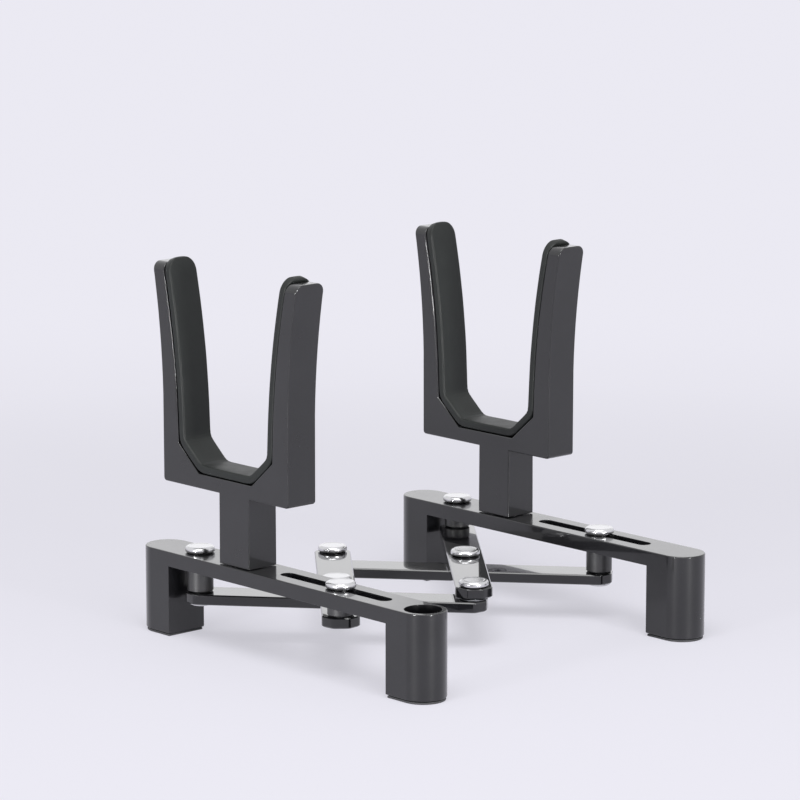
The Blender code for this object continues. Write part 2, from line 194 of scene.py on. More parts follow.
def make_dust_group():
    """A mask of specks, full on what faces up and thinner on upright faces."""
    group, given, result = start_group(
        "dust", {"Amount": 0.3, "Scale": 2600.0, "Side Share": 0.2}, ["Mask"])
    split = add_node(group, "ShaderNodeSeparateXYZ")
    group.links.new(add_node(group, "ShaderNodeNewGeometry").outputs["Normal"], split.inputs[0])
    upward = map_value(group, split.outputs["Z"], (0.3, 1.0), FULL)
    settled = combine(group, "MAXIMUM", upward, given["Side Share"])
    specks = map_value(group, noise_value(group, given["Scale"], 4.0, 0.7), (0.62, 0.78), FULL)
    group.links.new(multiply(group, specks, settled, given["Amount"]), result["Mask"])
    return group


def make_edge_group():
    """A patchy mask along the edges, where paint wears thin."""
    group, given, result = start_group(
        "worn edge", {"Radius": 0.0006, "Amount": 0.5, "Patch Scale": 180.0}, ["Mask"])
    rounded = add_node(group, "ShaderNodeBevel", samples=6)
    group.links.new(given["Radius"], rounded.inputs["Radius"])
    along = add_node(group, "ShaderNodeVectorMath", operation="DOT_PRODUCT")
    group.links.new(rounded.outputs[0], along.inputs[0])
    group.links.new(add_node(group, "ShaderNodeNewGeometry").outputs["Normal"], along.inputs[1])
    edge = map_value(group, along.outputs["Value"], (0.985, 0.80), FULL)
    patches = map_value(group, noise_value(group, given["Patch Scale"], 3.0), (0.42, 0.66), (0.15, 1.0))
    group.links.new(multiply(group, edge, patches, given["Amount"]), result["Mask"])
    return group


UNEVEN = make_uneven_group()
DUST = make_dust_group()
WORN_EDGE = make_edge_group()
print("shared effects:", UNEVEN.name, "/", DUST.name, "/", WORN_EDGE.name)

# %% [markdown]
# ## Helpers for materials
# Every finish below is put together in the same order: a colour that drifts a little between two tones,
# then wear and dust over it, a roughness that drifts with the colour, and a very shallow relief.

# %% Material helpers
NOISE_SPAN = (0.3, 0.7)     # where most of a noise's values lie


def start_material(name, **values):
    """A material with plain values on its shader's own sockets."""
    material = bpy.data.materials.new(name)
    material.use_nodes = True
    tree = material.node_tree
    shader = tree.nodes["Principled BSDF"]
    for label, value in values.items():
        shader.inputs[label.replace("_", " ")].default_value = value
    return material, tree, shader


def blend_colours(tree, mask, one, two):
    """Mix two colours by a mask. Either may be a plain colour or a socket."""
    mix = add_node(tree, "ShaderNodeMix", data_type="RGBA")
    tree.links.new(mask, mix.inputs[0])
    for socket, colour in ((mix.inputs[6], one), (mix.inputs[7], two)):
        if isinstance(colour, tuple):
            socket.default_value = (*colour, 1.0)
        else:
            tree.links.new(colour, socket)
    return mix.outputs[2]


def shade(colour, factor):
    """The same colour, darker or paler by a factor."""
    return tuple(factor * part for part in colour)


def uneven_tone(tree, value, dark, light):
    """A colour that drifts between two tones with the unevenness."""
    return blend_colours(tree, map_value(tree, value, NOISE_SPAN, FULL), dark, light)


def join_surface(tree, shader, tone, value, rough):
    """Send the colour to the shader, and a roughness that drifts with the unevenness."""
    tree.links.new(tone, shader.inputs["Base Color"])
    tree.links.new(map_value(tree, value, NOISE_SPAN, rough), shader.inputs["Roughness"])


def add_bump(tree, shader, height, distance, strength):
    """Tilt the shading by a height, without moving the surface."""
    node = add_node(tree, "ShaderNodeBump", {"Distance": distance, "Strength": strength})
    tree.links.new(height, node.inputs["Height"])
    tree.links.new(node.outputs["Normal"], shader.inputs["Normal"])


# %% [markdown]
# ## Gloss black enamel
# Cast rails and cradles wear a thick black enamel. It is nearly black by itself, so what the eye reads is
# the reflection in its surface: dark grey where it is seen square on, and almost white on the tops, which
# are seen at a low angle. Two layers give that. A satin base spreads the lamps into soft upright bands on
# the round feet, and a clear coat over it mirrors sharply at a low angle. The links are painted the same
# way, with a glossier base.

# %% Enamel
LACQUER_IOR = 1.5
WORN_PAINT = (0.11, 0.11, 0.12)
PALE_DUST = (0.30, 0.30, 0.31)
NEAR_BLACK = (0.006, 0.006, 0.007)


def make_enamel(name, colour, rough, sheen, coat, coat_rough, wear):
    """Black paint under a clear coat, worn at its edges."""
    material, tree, shader = start_material(
        name, IOR=LACQUER_IOR, Specular_IOR_Level=sheen,
        Coat_Weight=coat, Coat_Roughness=coat_rough, Coat_IOR=LACQUER_IOR)
    value, height = use_group(tree, UNEVEN, Broad_Scale=60.0, Fine_Scale=700.0, Fine_Share=0.25)
    dust = use_group(tree, DUST, Amount=0.10, Scale=1500.0, Side_Share=0.6)[0]
    worn = use_group(tree, WORN_EDGE, Radius=0.0005, Amount=wear)[0]
    tone = uneven_tone(tree, value, colour, shade(colour, 1.4))
    tone = blend_colours(tree, worn, tone, WORN_PAINT)
    tone = blend_colours(tree, dust, tone, PALE_DUST)
    join_surface(tree, shader, tone, value, rough)
    add_bump(tree, shader, height, distance=0.00002, strength=0.03)
    return material


enamel = make_enamel("black enamel", NEAR_BLACK, rough=(0.27, 0.33), sheen=0.28,
                     coat=0.75, coat_rough=0.04, wear=0.25)
link_paint = make_enamel("black link paint", NEAR_BLACK, rough=(0.08, 0.16), sheen=0.15,
                         coat=1.0, coat_rough=0.025, wear=0.45)
print("enamels:", enamel.name, "/", link_paint.name)

# %% [markdown]
# ## Rubber, nylon and metal
# Rubber scatters what falls on it, holds dust and has fine pores. Moulded nylon is smoother. The caps are
# satin nickel plate: bright, with a haze that spreads each reflection. All three reuse the same effects.

# %% Rubber, nylon and metal
RUBBER_IOR = 1.5
GREY_DUST = (0.20, 0.20, 0.19)


def make_rubber(name, colour, rough, sheen, dust_amount, pore):
    """Rubber or moulded nylon: uneven, dusty and with pores of a given depth."""
    material, tree, shader = start_material(name, IOR=RUBBER_IOR, Specular_IOR_Level=sheen)
    value, height = use_group(tree, UNEVEN, Broad_Scale=140.0, Fine_Scale=2600.0, Fine_Share=0.45)
    dust = use_group(tree, DUST, Amount=dust_amount, Scale=1800.0)[0]
    tone = uneven_tone(tree, value, colour, shade(colour, 1.5))
    tone = blend_colours(tree, dust, tone, GREY_DUST)
    join_surface(tree, shader, tone, value, rough)
    add_bump(tree, shader, height, distance=pore, strength=0.5)
    return material


def make_metal(name, colour, rough):
    """Bare or plated metal, a little brighter where its edges are rubbed."""
    material, tree, shader = start_material(name, Metallic=1.0)
    value, height = use_group(tree, UNEVEN, Broad_Scale=300.0, Fine_Scale=3600.0, Fine_Share=0.4)
    worn = use_group(tree, WORN_EDGE, Radius=0.0003, Amount=0.4, Patch_Scale=500.0)[0]
    tone = uneven_tone(tree, value, shade(colour, 0.90), colour)
    tone = blend_colours(tree, worn, tone, shade(colour, 1.15))
    join_surface(tree, shader, tone, value, rough)
    add_bump(tree, shader, height, distance=0.00001, strength=0.15)
    return material


lining_rubber = make_rubber("lining rubber", (0.010, 0.0115, 0.0108), rough=(0.40, 0.54), sheen=0.30,
                            dust_amount=0.22, pore=0.00006)
foot_rubber = make_rubber("foot rubber", (0.034, 0.034, 0.036), rough=(0.50, 0.66), sheen=0.4,
                          dust_amount=0.30, pore=0.00005)
nylon = make_rubber("black nylon", (0.018, 0.018, 0.019), rough=(0.34, 0.44), sheen=0.75,
                    dust_amount=0.10, pore=0.00001)
nickel = make_metal("satin nickel", (0.68, 0.68, 0.69), rough=(0.20, 0.28))
dark_steel = make_metal("dark steel", (0.16, 0.16, 0.17), rough=(0.28, 0.40))

FINISH = {
    "black_enamel": enamel, "black_steel": link_paint, "lining_rubber": lining_rubber,
    "foot_rubber": foot_rubber, "black_nylon": nylon, "polished_plate": nickel, "dark_steel": dark_steel,
}
print("finishes:", len(FINISH))

# %% [markdown]
# ## Fine edges on the solids
# Two small node groups help with the edges. One shades round parts smooth and leaves sharp edges sharp.
# The other marks the sharp edges that rise, because the links' ends are sheared plate, whose upright
# corners are softened more than their rims.

# %% Groups that work on edges
SMOOTH_ANGLE = math.radians(50.0)
CORNER_ANGLE = math.radians(20.0)
RISING = 0.5                # the upright share of an edge's direction


def start_geometry_group(name):
    """An empty group that takes geometry and hands geometry on."""
    group = bpy.data.node_groups.new(name, "GeometryNodeTree")
    for way in ("INPUT", "OUTPUT"):
        group.interface.new_socket(name="Geometry", in_out=way, socket_type="NodeSocketGeometry")
    return group, group.nodes.new("NodeGroupInput"), group.nodes.new("NodeGroupOutput")


def make_smoothing_group():
    """Drop the stored normals, then shade smooth except at edges sharper than an angle."""
    group, start, end = start_geometry_group("smooth by angle")
    forget = add_node(group, "GeometryNodeRemoveAttribute", {"Name": "custom_normal"})
    faces = add_node(group, "GeometryNodeSetShadeSmooth", domain="FACE")
    edges = add_node(group, "GeometryNodeSetShadeSmooth", domain="EDGE")
    angle = add_node(group, "GeometryNodeInputMeshEdgeAngle")
    under = add_node(group, "FunctionNodeCompare", {1: SMOOTH_ANGLE},
                     data_type="FLOAT", operation="LESS_THAN")
    join = group.links.new
    join(start.outputs[0], forget.inputs["Geometry"])
    join(forget.outputs["Geometry"], faces.inputs["Geometry"])
    join(faces.outputs["Geometry"], edges.inputs["Geometry"])
    join(angle.outputs["Unsigned Angle"], under.inputs[0])
    join(under.outputs["Result"], edges.inputs["Shade Smooth"])
    join(edges.outputs["Geometry"], end.inputs[0])
    return group


def make_corner_group():
    """Mark the sharp edges that rise, so that a bevel can round just those."""
    group, start, end = start_geometry_group("mark rising edges")
    ends = add_node(group, "GeometryNodeInputMeshEdgeVertices")
    along = add_node(group, "ShaderNodeVectorMath", operation="SUBTRACT")
    unit = add_node(group, "ShaderNodeVectorMath", operation="NORMALIZE")
    split = add_node(group, "ShaderNodeSeparateXYZ")
    angle = add_node(group, "GeometryNodeInputMeshEdgeAngle")
    mark = add_node(group, "GeometryNodeStoreNamedAttribute", {"Name": "bevel_weight_edge"},
                    data_type="FLOAT", domain="EDGE")
    join = group.links.new
    join(ends.outputs["Position 1"], along.inputs[0])
    join(ends.outputs["Position 2"], along.inputs[1])
    join(along.outputs[0], unit.inputs[0])
    join(unit.outputs[0], split.inputs[0])
    steep = combine(group, "GREATER_THAN", combine(group, "ABSOLUTE", split.outputs["Z"], 0.0), RISING)
    sharp = combine(group, "GREATER_THAN", angle.outputs["Unsigned Angle"], CORNER_ANGLE)
    join(multiply(group, steep, sharp), mark.inputs["Value"])
    join(start.outputs[0], mark.inputs["Geometry"])
    join(mark.outputs["Geometry"], end.inputs[0])
    return group


SMOOTHING = make_smoothing_group()
CORNERS = make_corner_group()
print("groups for edges:", SMOOTHING.name, "/", CORNERS.name)

# %% [markdown]
# ### The stack of modifiers
# The frame's solids arrive as loose triangles. Welding them and dissolving flat faces gives clean faces
# back. On the links a wider bevel rounds the marked edges. A narrow bevel then gives every edge its line
# of light, the smoothing group shades what is round, and weighted normals keep the large flat faces flat
# up to their bevels.

# %% Edge finishing
WELD_DISTANCE = 0.000002
SHORT_EDGE = 0.00015
FLAT_ANGLE = math.radians(0.6)
BEVEL_ANGLE = math.radians(40.0)
EDGE_WIDTH = {"black_enamel": 0.00045, "black_steel": 0.00040, "foot_rubber": 0.00025}
EDGE_SEGMENTS = 2
CORNER_WIDTH = {"black_steel": 0.0010}
CORNER_SEGMENTS = 3
FACE_WEIGHT = 80


def round_corners(piece, width):
    """Round the upright corners of a plate, before its rims get their fine bevel."""
    mark = piece.modifiers.new("mark corners", "NODES")
    mark.node_group = CORNERS
    corner = piece.modifiers.new("round corners", "BEVEL")
    corner.width = width
    corner.segments = CORNER_SEGMENTS
    corner.limit_method = "WEIGHT"
    close = piece.modifiers.new("close short edges", "WELD")
    close.merge_threshold = SHORT_EDGE


def finish_edges(piece, width, corner_width):
    """Clean faces, a fine bevel and smooth shading, all as modifiers."""
    weld = piece.modifiers.new("weld", "WELD")
    weld.merge_threshold = WELD_DISTANCE
    dissolve = piece.modifiers.new("planar dissolve", "DECIMATE")
    dissolve.decimate_type = "DISSOLVE"
    dissolve.angle_limit = FLAT_ANGLE
    if corner_width:
        round_corners(piece, corner_width)
    bevel = piece.modifiers.new("edge bevel", "BEVEL")
    bevel.width = width
    bevel.segments = EDGE_SEGMENTS
    bevel.limit_method = "ANGLE"
    bevel.angle_limit = BEVEL_ANGLE
    bevel.miter_outer = "MITER_ARC"
    smooth = piece.modifiers.new("smooth by angle", "NODES")
    smooth.node_group = SMOOTHING
    weighted = piece.modifiers.new("weighted normals", "WEIGHTED_NORMAL")
    weighted.keep_sharp = True
    weighted.weight = FACE_WEIGHT


dressed = [name for name in nodes if slot_of[name] in EDGE_WIDTH]
for name in dressed:
    slot = slot_of[name]
    nodes[name].data.materials.clear()
    nodes[name].data.materials.append(FINISH[slot])
    finish_edges(nodes[name], EDGE_WIDTH[slot], CORNER_WIDTH.get(slot))
print("solids dressed:", len(dressed))

# %% [markdown]
# ## Turned pieces
# Caps, rivets, spacers and washers come off a lathe, so each is a profile of radius and height spun about
# its axis. Spinning a profile with many steps is the surest way to a truly round piece, and every one is
# centred on the box of the solid that it stands for.

# %% Spinning a profile
SPIN_STEPS = 64
SAME_POINT = 0.000001
FINE_BREAK = 0.0001         # a barely broken edge
BREAK = 0.0003              # a broken edge that shows
ARC_STEPS = 8
QUARTER_TURN = [math.pi / 2 * step / ARC_STEPS for step in range(ARC_STEPS + 1)]


def axis_of(name):
    """The middle of a node in plan, and its lowest and highest point."""
    low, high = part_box(name)
    return (low[0] + high[0]) / 2, (low[1] + high[1]) / 2, low[2], high[2]


def spin_profile(name, profile, centre):
    """Turn a profile of (radius, height) about the upright line through the centre."""
    bm = bmesh.new()
    verts = [bm.verts.new((centre[0] + radius, centre[1], height)) for radius, height in profile]
    edges = [bm.edges.new(pair) for pair in zip(verts, verts[1:])]
    if profile[0][0] > 0:
        edges.append(bm.edges.new((verts[-1], verts[0])))
    bmesh.ops.spin(bm, geom=verts + edges, cent=(*centre[:2], 0), axis=(0, 0, 1), angle=math.tau,
                   steps=SPIN_STEPS, use_duplicate=False)
    bmesh.ops.remove_doubles(bm, verts=bm.verts, dist=SAME_POINT)
    bmesh.ops.recalc_face_normals(bm, faces=bm.faces)
    return store_piece(name, bm)


def store_piece(name, bm):
    """Turn the finished bmesh into an object in the scene, shaded smooth."""
    mesh = bpy.data.meshes.new(name)
    bm.to_mesh(mesh)
    bm.free()
    mesh.shade_smooth()
    piece = bpy.data.objects.new(name, mesh)
    bpy.context.scene.collection.objects.link(piece)
    return piece


def stand_for(piece, node, *finishes):
    """Give the piece its finish and let it take the node's place on the same body."""
    slot = slot_of[node]
    for finish in finishes or (FINISH[slot],):
        piece.data.materials.append(finish)
    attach(piece, body_of[node])
    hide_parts(node)


def keep_corners(piece, degrees=35.0):
    """Shade edges sharper than this as sharp."""
    piece.data.set_sharp_from_angle(angle=math.radians(degrees))


# %% [markdown]
# ### Caps
# Each pivot ends in a button cap. Its rim is rounded well over, its top is very slightly dished, which is
# why a bright ring runs round it, and a thin black washer keeps it off the paint. The washer is the
# lowest band of the same profile with a finish of its own. A turned cap ends a little lower than its
# solid, which stands a gap's width above the rail.

# %% Caps
CAP_RADIUS = 0.0065
CAP_SHOULDER = 0.0014
SOLID_HEIGHT = 0.0029
CAP_HEIGHT = 0.0027
WASHER_RADIUS = 0.0058
WASHER_HEIGHT = 0.0003
RIM_HEIGHT = 0.0013
RIM_BREAK = 0.00025
CAP_DISH = 0.00012
DISH_SLOPE = 0.0011
HAIR = 0.00002              # how clearly a face of the washer lies below the cap


def cap_profile(base):
    """From the underside of the washer up the rim, over the shoulder and down into the dish."""
    points = [(0.0, 0.0), (WASHER_RADIUS - FINE_BREAK, 0.0), (WASHER_RADIUS, FINE_BREAK),
              (WASHER_RADIUS, WASHER_HEIGHT), (CAP_RADIUS - BREAK, WASHER_HEIGHT),
              (CAP_RADIUS - FINE_BREAK, WASHER_HEIGHT + FINE_BREAK),
              (CAP_RADIUS, WASHER_HEIGHT + RIM_BREAK)]
    flat = CAP_RADIUS - CAP_SHOULDER
    for turn in QUARTER_TURN:
        points.append((flat + CAP_SHOULDER * math.cos(turn),
                       RIM_HEIGHT + (CAP_HEIGHT - RIM_HEIGHT) * math.sin(turn)))
    for step in range(1, ARC_STEPS + 1):
        part = step / ARC_STEPS
        points.append((flat - DISH_SLOPE * part, CAP_HEIGHT - CAP_DISH * part * part * (3 - 2 * part)))
    points.append((0.0, CAP_HEIGHT - CAP_DISH))
    return [(radius, base + height) for radius, height in points]


def add_cap(node):
    """A cap over its pivot. The faces of its lowest band are given the washer's nylon."""
    x, y, _, top = axis_of(node)
    base = top - SOLID_HEIGHT
    cap = spin_profile(node + "_turned", cap_profile(base), (x, y))
    stand_for(cap, node, nickel, nylon)
    for face in cap.data.polygons:
        if face.center.z < base + WASHER_HEIGHT - HAIR:
            face.material_index = 1
    keep_corners(cap)


caps = [name for name in nodes if name.startswith("cap_")]
for name in caps:
    add_cap(name)
print("caps turned:", len(caps))

# %% [markdown]
# ### Rivets
# A rivet's pin runs through the links and can be seen inside a rail's slot. Two of them end below in a
# low dome. The others lie flush in a recess, so that the links can slide over one another, and show a
# flat disc with a broken edge.

# %% Rivets
PIN_RADIUS = 0.0030
HEAD_RADIUS = 0.0052
HEAD_HEIGHT = 0.0016
DOME_RISE = 0.0012
PROUD_RIVETS = ("rivet_left_back", "rivet_right_front")


def head_profile(low, proud):
    """The underside of the head, from the axis out to the rim."""
    if not proud:
        return [(0.0, low), (HEAD_RADIUS - BREAK, low), (HEAD_RADIUS, low + BREAK)]
    return [(HEAD_RADIUS * math.sin(turn), low + DOME_RISE * (1 - math.cos(turn))) for turn in QUARTER_TURN]


def add_rivet(node):
    """A rivet from the underside of its head to the top of its pin."""
    x, y, low, top = axis_of(node)
    shoulder = low + HEAD_HEIGHT
    profile = head_profile(low, node in PROUD_RIVETS)
    profile += [(HEAD_RADIUS, shoulder - FINE_BREAK), (HEAD_RADIUS - FINE_BREAK, shoulder),
                (PIN_RADIUS, shoulder), (PIN_RADIUS, top - BREAK), (PIN_RADIUS - BREAK, top), (0.0, top)]
    rivet = spin_profile(node + "_turned", profile, (x, y))
    stand_for(rivet, node)
    keep_corners(rivet)


rivets = [name for name in nodes if name.startswith("rivet_")]
for name in rivets:
    add_rivet(name)
print("rivets turned:", len(rivets))

# %% [markdown]
# ### Spacers and washers
# Black nylon sleeves hold the links at their height under the rails, and a thin steel washer parts each
# pair of links. Both are rings whose outer edges are broken by a small chamfer.

# %% Spacers and washers
BORE_RADIUS = 0.0032
SPACER_CHAMFER = 0.0004


def add_ring(node, chamfer):
    """A ring as wide as its solid, with its bore and its two chamfered outer edges."""
    x, y, low, high = axis_of(node)
    corner, far_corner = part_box(node)
    outer = (far_corner[0] - corner[0]) / 2
    profile = [(BORE_RADIUS, low), (outer - chamfer, low), (outer, low + chamfer),
               (outer, high - chamfer), (outer - chamfer, high), (BORE_RADIUS, high)]
    piece = spin_profile(node + "_turned", profile, (x, y))
    stand_for(piece, node)
    keep_corners(piece, degrees=30.0)


spacers = [name for name in nodes if name.startswith("spacer_")]
washers = [name for name in nodes if name.startswith("washer_")]
for name in spacers:
    add_ring(name, SPACER_CHAMFER)
for name in washers:
    add_ring(name, FINE_BREAK)
print("spacers and washers turned:", len(spacers), "and", len(washers))

# %% [markdown]
# ### Socket screws
# Two socket-head screws come up through each rail into the post. Their hexagon sockets are seen only
# from below, but a stand is picked up and turned over, so each is made. Loops of edges are bridged one to
# the next, from the floor of a six-sided socket out over the round head and up the stem.

# %% Socket screws
SCREW_HEAD = 0.0038
SCREW_HEAD_HEIGHT = 0.0024
SCREW_STEM = 0.0019
SCREW_SIDES = 48
HEX_RADIUS = 0.0017
HEX_DEPTH = 0.0014
HEX_SIDES = 6


def loop_of(bm, centre, radius, height, sides):
    """A closed loop of edges on a circle, or on a polygon with few sides."""
    turns = [math.tau * k / sides for k in range(sides)]
    verts = [bm.verts.new((centre[0] + radius * math.cos(turn),
                           centre[1] + radius * math.sin(turn), height)) for turn in turns]
    return [bm.edges.new((verts[k - 1], verts[k])) for k in range(sides)]


def add_screw(node):
    """A screw from the floor of its socket, out over the head and up the stem."""
    x, y, low, top = axis_of(node)
    bm = bmesh.new()
    socket = [(HEX_RADIUS, low + HEX_DEPTH), (HEX_RADIUS, low)]
    outside = [(SCREW_HEAD - BREAK, low), (SCREW_HEAD, low + BREAK), (SCREW_HEAD, low + SCREW_HEAD_HEIGHT),
               (SCREW_STEM, low + SCREW_HEAD_HEIGHT), (SCREW_STEM, top)]
    loops = [loop_of(bm, (x, y), *ring, HEX_SIDES) for ring in socket]
    loops += [loop_of(bm, (x, y), *ring, SCREW_SIDES) for ring in outside]
    for one, two in zip(loops, loops[1:]):
        bmesh.ops.bridge_loops(bm, edges=one + two)
    for loop in (loops[0], loops[-1]):
        bmesh.ops.contextual_create(bm, geom=loop)
    bmesh.ops.recalc_face_normals(bm, faces=bm.faces)
    screw = store_piece(node + "_turned", bm)
    stand_for(screw, node)
    keep_corners(screw)


screws = [name for name in nodes if "_screw_" in name]
for name in screws:
    add_screw(name)
print("screws made:", len(screws))

# %% [markdown]
# ## The rubber linings
# A strap of firm rubber is glued into each U. It bends round the corners instead of filling them, so a
# dark wedge shows behind each bend, it puckers a little on the inside there, and its ends are rounded
# like a tongue. The strap is a cross-section swept along the inside of the U, which keeps control over
# the thickness, the crown and the puckers, where a cloth simulation would not.

# %% The path of a lining
METAL_HALF = 0.0410
METAL_FLOOR = 0.0752
ARM_LOW, ARM_TIP = 0.0102, 0.0068
FLAT_HALF = 0.0174
CHAMFER_TOP = 0.0867
FLARE_START, FLARE = 0.1000, 0.0062
METAL_TIP = 0.1645
STRAP_TIP = METAL_TIP + 0.0017
GLUE_GAP = 0.0003
STRAP_HALF_THICK = 0.00185
BEND_SPREAD = 0.0020
PATH_STEP = 0.0004
ARM_POINTS = 60


def arm_face(z):
    """Distance from the U's middle to the inside of an arm."""
    flare = FLARE * max(0.0, (z - FLARE_START) / (METAL_TIP - FLARE_START)) ** 2
    taper = (ARM_LOW - ARM_TIP) * (z - CHAMFER_TOP) / (METAL_TIP - CHAMFER_TOP)
    return METAL_HALF + flare - ARM_LOW + taper


def strap_path():
    """Points (across the U, up) along the strap's middle, evenly spaced, with rounded bends."""
    heights = np.linspace(CHAMFER_TOP, STRAP_TIP, ARM_POINTS)
    half = [(FLAT_HALF, METAL_FLOOR)] + [(arm_face(z), z) for z in heights]
    corners = np.array([(-w, z) for w, z in reversed(half)] + half)
    steps = np.diff(corners, axis=0)
    sides = np.stack([-steps[:, 1], steps[:, 0]], axis=1) / np.linalg.norm(steps, axis=1)[:, None]
    mitres = np.vstack([sides[:1], sides[:-1] + sides[1:], sides[-1:]])
    mitres /= np.linalg.norm(mitres, axis=1)[:, None]
    near = np.vstack([sides[:1], sides])
    offset = (GLUE_GAP + STRAP_HALF_THICK) / np.sum(mitres * near, axis=1)
    middle = corners + mitres * offset[:, None]
    travel = np.concatenate([[0], np.cumsum(np.linalg.norm(np.diff(middle, axis=0), axis=1))])
    even = np.arange(0.0, travel[-1], PATH_STEP)
    points = np.stack([np.interp(even, travel, middle[:, k]) for k in (0, 1)], axis=1)
    return round_bends(points)


def round_bends(points):
    """Smooth the path with a bell-shaped filter, its ends run on straight so that they stay put."""
    reach = int(3 * BEND_SPREAD / PATH_STEP)
    bell = np.exp(-0.5 * (np.arange(-reach, reach + 1) * PATH_STEP / BEND_SPREAD) ** 2)
    ahead = points[0] + (points[0] - points[1]) * np.arange(reach, 0, -1)[:, None]
    behind = points[-1] + (points[-1] - points[-2]) * np.arange(1, reach + 1)[:, None]
    longer = np.vstack([ahead, points, behind])
    return np.stack([np.convolve(longer[:, k], bell / bell.sum(), "valid") for k in (0, 1)], axis=1)


def along_path(travel):
    """The point and the direction at a distance along the strap."""
    whole = np.arange(len(path)) * PATH_STEP
    point, ahead = (np.array([np.interp(travel + shift, whole, path[:, k]) for k in (0, 1)])
                    for shift in (0.0, PATH_STEP / 4))
    behind = np.array([np.interp(travel - PATH_STEP / 4, whole, path[:, k]) for k in (0, 1)])
    return point, (ahead - behind) / np.linalg.norm(ahead - behind)


path = strap_path()
print("strap length in mm:", round((len(path) - 1) * PATH_STEP * 1000, 1))

# %% [markdown]
# ### The section of a strap
# The section is a flat bar with rounded edges. Towards either tip it loses width and thickness, so that
# the strap ends like a tongue, and the places where it is laid are set close together there.

# %% The strap's section and its rounded tips
STRAP_HALF_WIDTH = 0.00765
EDGE_ROUND = 0.0008
CORNER_STEPS = 4
FLAT_STEPS = 12
TIP_ROUND = 0.0072
TIP_POWER = 2.3             # 2 would round a tip like an ellipse, more makes it squarer


def section_points():
    """The outline of the section, as shares of the half width and the half thickness."""
    corner = EDGE_ROUND
    wide, thick = STRAP_HALF_WIDTH - corner, STRAP_HALF_THICK - corner
    points = []
    for cx, cy, start in ((wide, thick, 0), (-wide, thick, 90), (-wide, -thick, 180), (wide, -thick, 270)):
        for step in range(CORNER_STEPS + 1):
            turn = math.radians(start + 90 * step / CORNER_STEPS)
            points.append((cx + corner * math.cos(turn), cy + corner * math.sin(turn)))
        if start in (0, 180):
            points += [(cx * (1 - 2 * k / FLAT_STEPS), math.copysign(STRAP_HALF_THICK, cy))
                       for k in range(1, FLAT_STEPS)]
    return [(x / STRAP_HALF_WIDTH, d / STRAP_HALF_THICK) for x, d in points]


def tip_shares(distance):
    """How much of its width and thickness the strap keeps at a distance from its tip."""
    across = max(0.0, 1 - distance / TIP_ROUND)
    through = max(0.0, 1 - distance / EDGE_ROUND)
    return (1 - across ** TIP_POWER) ** (1 / TIP_POWER), math.sqrt(1 - through ** 2)


def ring_places(length):
    """Distances along the strap: close together where a tip is rounded, then even."""
    tip = [TIP_ROUND * (1 - math.cos(math.radians(turn))) for turn in range(2, 90, 6)]
    middle = np.linspace(TIP_ROUND, length - TIP_ROUND, int((length - 2 * TIP_ROUND) / (2 * PATH_STEP)))
    return tip + list(middle) + [length - place for place in reversed(tip)]


shape = section_points()
print("points round a section:", len(shape))

# %% [markdown]
# ### Sweeping the strap
# One ring of points is laid across the path at each place and joined to the next. On the inner face the
# middle is crowned, and where the path bends the rubber puckers in small waves. A faint waver over the
# whole strap takes away the look of a perfect extrusion. Its noise is seeded by place, so that the two
# straps differ.

# %% Sweep the strap
INNER_FACE = 0.5            # points above this share of the half thickness lie on the inner face
CROWN = 0.00022
PUCKER = 0.00011
PUCKER_LENGTH = 0.0021
PUCKER_DRIFT = 0.35
WAVER = 0.00006
WAVER_PACE = 0.6
NOISE_PACE = (3.1, 160.0, 0.7)      # across, along and through the strap
SEED_SPREAD = 40


def bend_strength(points):
    """How sharply the path bends at each point, from 0 to 1."""
    heading = np.unwrap(np.arctan2(np.gradient(points[:, 1]), np.gradient(points[:, 0])))
    bend = np.abs(np.gradient(heading))
    return bend / bend.max()


def surface_lift(across, depth, thick, travel, bend, seed):
    """How far a point of the section stands off the path."""
    lift = STRAP_HALF_THICK * depth * thick
    if depth > INNER_FACE:
        pucker = math.sin(math.tau * (travel / PUCKER_LENGTH + PUCKER_DRIFT * noise.noise(seed)))
        lift += thick * (CROWN * (1 - across ** 2) - CROWN + PUCKER * bend * pucker)
    return lift + WAVER * noise.noise(seed * WAVER_PACE) * thick


def add_lining(node, centre_x, centre_y):
    """The strap of one cradle, closed at both tips by its last rings."""
    bends = bend_strength(path)
    length = (len(path) - 1) * PATH_STEP
    bm = bmesh.new()
    rings = []
    for travel in ring_places(length):
        wide, thick = tip_shares(min(travel, length - travel))
        point, heading = along_path(travel)
        side = np.array((-heading[1], heading[0]))
        bend = bends[round(travel / PATH_STEP)]
        ring = []
        for across, depth in shape:
            seed = Vector((across * NOISE_PACE[0] + centre_x * SEED_SPREAD,
                           travel * NOISE_PACE[1], depth * NOISE_PACE[2]))
            spot = point + side * surface_lift(across, depth, thick, travel, bend, seed)
            ring.append(bm.verts.new(
                (centre_x + across * wide * STRAP_HALF_WIDTH, centre_y + spot[0], spot[1])))
        rings.append(ring)
    for one, two in zip(rings, rings[1:]):
        for j in range(len(shape)):
            bm.faces.new((one[j - 1], one[j], two[j], two[j - 1]))
    bm.faces.new(rings[0])
    bm.faces.new(rings[-1])
    bmesh.ops.recalc_face_normals(bm, faces=bm.faces)
    strap = store_piece(node + "_strap", bm)
    stand_for(strap, node)
    return strap


for name in ("left_lining", "right_lining"):
    strap = add_lining(name, *axis_of(name)[:2])
print("points in a strap:", len(strap.data.vertices))
